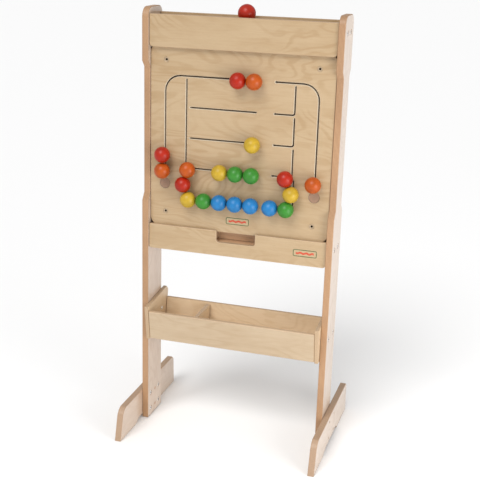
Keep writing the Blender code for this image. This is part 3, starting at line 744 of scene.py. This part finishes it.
class StandLock(bpy.types.Operator):
    """Red knob and its steel pin"""
    bl_idname = "stand.lock"
    bl_label = "Lock knob and pin"

    def execute(self, context):
        low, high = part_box("lock_knob")
        radius = span("lock_knob", 0) / 2
        centre = Vector((0, 0, high.z - radius))
        neck, foot = settings("stand_ball").neck, centre.z - low.z
        rings = [(neck, radius * 0.92), (neck, foot - EASE), (neck - EASE, foot)]
        knob = painted_ball("lock_knob_ball", centre, radius, -Z, rings)
        paint(knob, shared_finish("paint_red", gloss_paint, settings("stand_paint").red))
        belongs(knob, "lock", "red", "lock_knob")

        radius = span("lock_pin", 0) / 2
        tip = radius * 0.35
        rings = [(radius - tip, 0), (radius, 2 * tip), (radius, span("lock_pin", 2))]
        pin = turned("lock_pin_rod", rings, Vector((0, 0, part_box("lock_pin")[0].z)), (0, 0, 0))
        smooth(pin)
        paint(pin, metal_finish("zinc"))
        belongs(pin, "lock", "steel", "lock_pin")
        return {"FINISHED"}


# ---- fixings ----------------------------------------------------------------------------------
def metal_finish(name):
    """Zinc, brass, or the metal inside a socket of either, darkened as painted shade."""
    metal = settings("stand_metal")
    tint, roughness = {"zinc": (metal.colour, metal.roughness),
                       "zinc_socket": (metal.dark, metal.socket_roughness),
                       "brass": (metal.brass, metal.brass_roughness),
                       "brass_socket": (metal.brass_socket_shade, metal.socket_roughness)}[name]
    return shared_finish(name, plating, tint, roughness)


def socket_bolt(name, rings, mouth, direction, socket, metal="zinc"):
    """A bolt from the top of its head to its end, with a hexagon socket in the head whose metal is darkened
    as painted shade.
    rings starts with the flat around the socket, and heights are measured from the mouth."""
    bolt = turned(name, rings, mouth, direction.to_track_quat("Z", "Y").to_euler(), 36)
    top = mouth + direction * rings[0][1]
    hexagon_socket(bolt, top, direction, socket, settings("stand_metal").socket_depth)
    smooth(bolt)
    paint(bolt, metal_finish(metal), metal_finish(metal + "_socket"))
    # Faces inside the socket take the darkened socket metal: painted shade.
    for face in bolt.data.polygons:
        offset = face.center - top
        depth = offset.dot(direction)
        across = (offset - direction * depth).length
        face.material_index = 1 if across < socket * 1.02 and depth > 0.0001 else 0
    return bolt


def head_rings(radius, head):
    """A low domed head, closed flat underneath."""
    dome = 0.0014
    return [(radius * 0.62, 0), (radius * 0.80, dome * 0.15), (radius * 0.93, dome * 0.5), (radius, dome),
            (radius, head)]


def shank_rings(start, end):
    """A shank with a chamfered end."""
    shank = settings("stand_metal").shank
    return [(shank, start), (shank, end - EASE), (shank - EASE, end)]


class StandFixings(bpy.types.Operator):
    """Bolts of feet, tray, panel and rails, and the dowels"""
    bl_idname = "stand.fixings"
    bl_label = "Bolts and dowels"

    def execute(self, context):
        self.frame_bolts()
        self.panel_bolts()
        self.rail_bolts()
        self.dowels()
        return {"FINISHED"}

    def frame_bolts(self):
        """Foot bolts, driven outwards from the uprights' inner faces, and tray bolts, driven inwards
        from their outer faces."""
        metal = settings("stand_metal")
        for name in FOOT_BOLT_NODES + TRAY_BOLT_NODES:
            low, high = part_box(name)
            side = 1 if low.x > 0 else -1
            way = side if name in FOOT_BOLT_NODES else -side
            mouth = Vector((low.x if way > 0 else high.x, middle(name).y, middle(name).z))
            rings = head_rings(span(name, 1) / 2, metal.head) + shank_rings(metal.head, high.x - low.x)
            bolt = socket_bolt(name + "_zinc", rings, mouth, X * way, metal.socket)
            belongs(bolt, "stand", "steel", name)
            if name in TRAY_BOLT_NODES:
                self.cap_nut(name, side)

    def cap_nut(self, name, side):
        """A low domed nut on the inner face of the tray's end."""
        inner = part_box(f"tray_{'right' if side > 0 else 'left'}_end")[0 if side > 0 else 1].x
        radius = settings("stand_metal").nut
        rim, shoulder, crown, dome = 0.0006, 0.0013, 0.0019, 0.0021
        rings = [(radius, 0), (radius, rim), (radius * 0.84, shoulder), (radius * 0.52, crown),
                 (radius * 0.16, dome)]
        nut = turned(name + "_nut", rings, Vector((inner, middle(name).y, middle(name).z)),
                     (0, -side * pi / 2, 0), 28)
        smooth(nut, 45)
        paint(nut, metal_finish("zinc"))
        belongs(nut, "stand", "steel")

    def panel_bolts(self):
        """Countersunk bolts with a dished head, flush with the panel's face. Depths in the head are
        measured from that face."""
        metal = settings("stand_metal")
        lip, edge, rim, dish = 0.0004, 0.0007, 0.0014, 0.0012
        for name in PANEL_BOLT_NODES:
            radius = span(name, 0) / 2
            mouth = Vector((middle(name).x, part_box(name)[0].y, middle(name).z))
            rings = [(radius * 0.5, dish), (radius - EASE, lip), (radius, edge), (radius, rim),
                     (metal.shank, rim + radius - metal.shank), (metal.shank, span(name, 1))]
            bolt = socket_bolt(name + "_brass", rings, mouth, Y, metal.wide_socket, "brass")
            belongs(bolt, "panel", "steel", name)

    def rail_bolts(self):
        """Heads of the bolts through each upright into the ends of the cross bar and of the shelf."""
        metal = settings("stand_metal")
        sunk = 0.0002
        rings = head_rings(metal.rail_bolt, metal.rail_head)
        for word, side in SIDES.items():
            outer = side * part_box("right_upright")[1].x
            for count, centre in enumerate(rail_bolt_middles()):
                mouth = Vector((outer - side * sunk, centre.y, centre.z))
                bolt = socket_bolt(f"{word}_rail_bolt_{count + 1}", rings, mouth, -X * side, metal.socket)
                belongs(bolt, "stand", "steel")

    def dowels(self):
        """Dowel ends between the bolts on the uprights' inner faces."""
        metal = settings("stand_metal")
        tint = shaded(settings("stand_wood").plug, 1.25)
        radius, depth, proud, ease = metal.dowel, 0.0010, 0.00025, 0.0004
        rings = [(radius, 0), (radius, depth), (radius - ease, depth + proud)]
        heights = sorted({round(middle(name).z, 4) for name in FOOT_BOLT_NODES})
        for word, side in SIDES.items():
            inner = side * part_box("right_upright")[0].x
            for count, height in enumerate(heights):
                name = f"{word}_dowel_{count + 1}"
                centre = Vector((inner, metal.dowel_back, height))
                dowel = turned(name, rings, centre + X * side * depth, (0, -side * pi / 2, 0), 28)
                smooth(dowel)
                paint(dowel, end_grain(name + "_wood", tint, centre))
                belongs(dowel, "stand", "plug_wood")


# ---- badges -----------------------------------------------------------------------------------
def badge(name, body, slot, centre):
    """A thin rounded plate with a raised rim and a plain wavy bar; it carries no lettering."""
    values = settings("stand_badge")
    width, height = values.size
    plate = new_primitive("cube", size=1)
    plate.scale = (width, values.thickness, height)
    plate.location = centre - Y * values.thickness / 2
    only(plate)
    bpy.ops.object.transform_apply(location=True, rotation=True, scale=True)
    with shaping(plate):
        choose(plate, "EDGE", lambda edge: abs((edge.verts[0].co - edge.verts[1].co).normalized().y) > 0.9)
        bpy.ops.mesh.bevel(offset=values.corner, segments=8, profile=0.5, affect="EDGES")
        choose(plate, "FACE", lambda face: face.normal.y < -0.99)
        bpy.ops.mesh.inset(thickness=values.rim, depth=0)
        bpy.ops.mesh.inset(thickness=values.relief, depth=-values.relief)
    settle(plate, name)
    paint(plate, shared_finish("badge_green", printed, values.outline),
          shared_finish("badge_ground", printed, values.ground))
    field = max((face for face in plate.data.polygons if face.normal.y < -0.9), key=lambda face: face.area)
    field.material_index = 1
    belongs(plate, body, slot)

    wave = new_primitive("grid", x_subdivisions=40, y_subdivisions=1, size=1)
    bar_width, bar_height, swing, crests = width * 0.76, height * 0.27, height * 0.07, 3
    for vertex in wave.data.vertices:
        across = vertex.co.x
        lift = swing * sin(across * 2 * crests * pi)
        vertex.co = (across * bar_width, 0, vertex.co.y * bar_height + lift)
    with shaping(wave):
        bpy.ops.mesh.select_all(action="SELECT")
        bpy.ops.mesh.extrude_region_move(TRANSFORM_OT_translate={"value": (0, -values.relief, 0)})
    wave.location = centre - Y * (values.thickness - 0.00015)
    settle(wave, name + "_wave")
    paint(wave, shared_finish("badge_orange", printed, values.wave))
    belongs(wave, body, slot)


class StandBadges(bpy.types.Operator):
    """Plain badges on the panel and on the bottom rail"""
    bl_idname = "stand.badges"
    bl_label = "Badges"

    def execute(self, context):
        values = settings("stand_badge")
        for name, body, behind, (across, up) in (
                ("panel_badge", "panel", "maze_board", values.on_panel),
                ("rail_badge", "stand", "bottom_rail_front", values.on_rail)):
            badge(name, body, "birch_face", Vector((across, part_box(behind)[0].y, up)))
        return {"FINISHED"}


# ---- studio -----------------------------------------------------------------------------------
class StandStage(bpy.types.Operator):
    """Pale floor, soft lights and the camera"""
    bl_idname = "stand.stage"
    bl_label = "Studio"

    def execute(self, context):
        studio = settings("stand_studio")
        floor = new_primitive("plane", size=40)
        floor.name = "studio_floor"
        paint(floor, new_finish("studio_floor", 0.9, Base_Color=(*studio.floor, 1))[0])

        world = bpy.data.worlds.new("studio_surround")
        world.use_nodes = True
        backdrop = world.node_tree.nodes["Background"]
        backdrop.inputs["Color"].default_value = (1, 1, 1, 1)
        backdrop.inputs["Strength"].default_value = studio.sky
        context.scene.world = world
        context.scene.view_settings.view_transform = "Standard"

        key = self.light("key_light", "SUN", studio.key, studio.key_place, (0, 0, 0))
        key.angle = studio.key_width
        side = self.light("side_light", "AREA", studio.side, studio.side_place, studio.side_aim)
        side.shape, side.size = "DISK", studio.side_size

        camera = bpy.data.objects.new("camera", bpy.data.cameras.new("camera"))
        context.scene.collection.objects.link(camera)
        camera.data.sensor_width = 36
        camera.data.lens = studio.lens
        camera.data.shift_x, camera.data.shift_y = studio.shift
        camera.matrix_world = (Matrix.Translation(Vector(studio.position))
                               @ Matrix.Rotation(-studio.yaw, 4, "Z")
                               @ Matrix.Rotation(pi / 2 + studio.pitch, 4, "X")
                               @ Matrix.Rotation(studio.roll, 4, "Z"))
        context.scene.camera = camera
        return {"FINISHED"}

    def light(self, name, kind, strength, place, aim):
        """Adds a light at a place, turned towards its aim, and gives back its data."""
        made = bpy.data.objects.new(name, bpy.data.lights.new(name, kind))
        bpy.context.scene.collection.objects.link(made)
        made.data.energy = strength
        made.location = place
        made.rotation_euler = (Vector(place) - Vector(aim)).to_track_quat("Z", "Y").to_euler()
        return made.data


# ---- add-on -----------------------------------------------------------------------------------
GROUPS = {"stand_wood": StandWood, "stand_paint": StandPaint, "stand_ball": StandBall,
          "stand_metal": StandMetal, "stand_badge": StandBadge, "stand_studio": StandStudio}
STEPS = (StandStage, StandFrameBoards, StandRails, StandTray, StandPanel, StandBeads, StandLock,
         StandFixings, StandBadges)


class StandSidebar(bpy.types.Panel):
    """Lists the steps and their values in the sidebar"""
    bl_idname = "VIEW3D_PT_stand"
    bl_label = "Wooden Activity Stand"
    bl_space_type = "VIEW_3D"
    bl_region_type = "UI"
    bl_category = "Stand"

    def draw(self, context):
        for step in STEPS:
            self.layout.operator(step.bl_idname)
        for group, kind in GROUPS.items():
            box = self.layout.box()
            for value in kind.__annotations__:
                box.prop(getattr(context.scene, group), value)


def register():
    for kind in (*GROUPS.values(), *STEPS, StandSidebar):
        bpy.utils.register_class(kind)
    for group, kind in GROUPS.items():
        setattr(bpy.types.Scene, group, PointerProperty(type=kind))


def unregister():
    for group in GROUPS:
        delattr(bpy.types.Scene, group)
    for kind in reversed((*GROUPS.values(), *STEPS, StandSidebar)):
        bpy.utils.unregister_class(kind)


def main():
    register()
    bpy.ops.stand.stage()
    bpy.ops.stand.frame_boards()
    bpy.ops.stand.rails()
    bpy.ops.stand.tray()
    bpy.ops.stand.panel()
    bpy.ops.stand.beads()
    bpy.ops.stand.lock()
    bpy.ops.stand.fixings()
    bpy.ops.stand.badges()


if __name__ == "__main__":
    main()
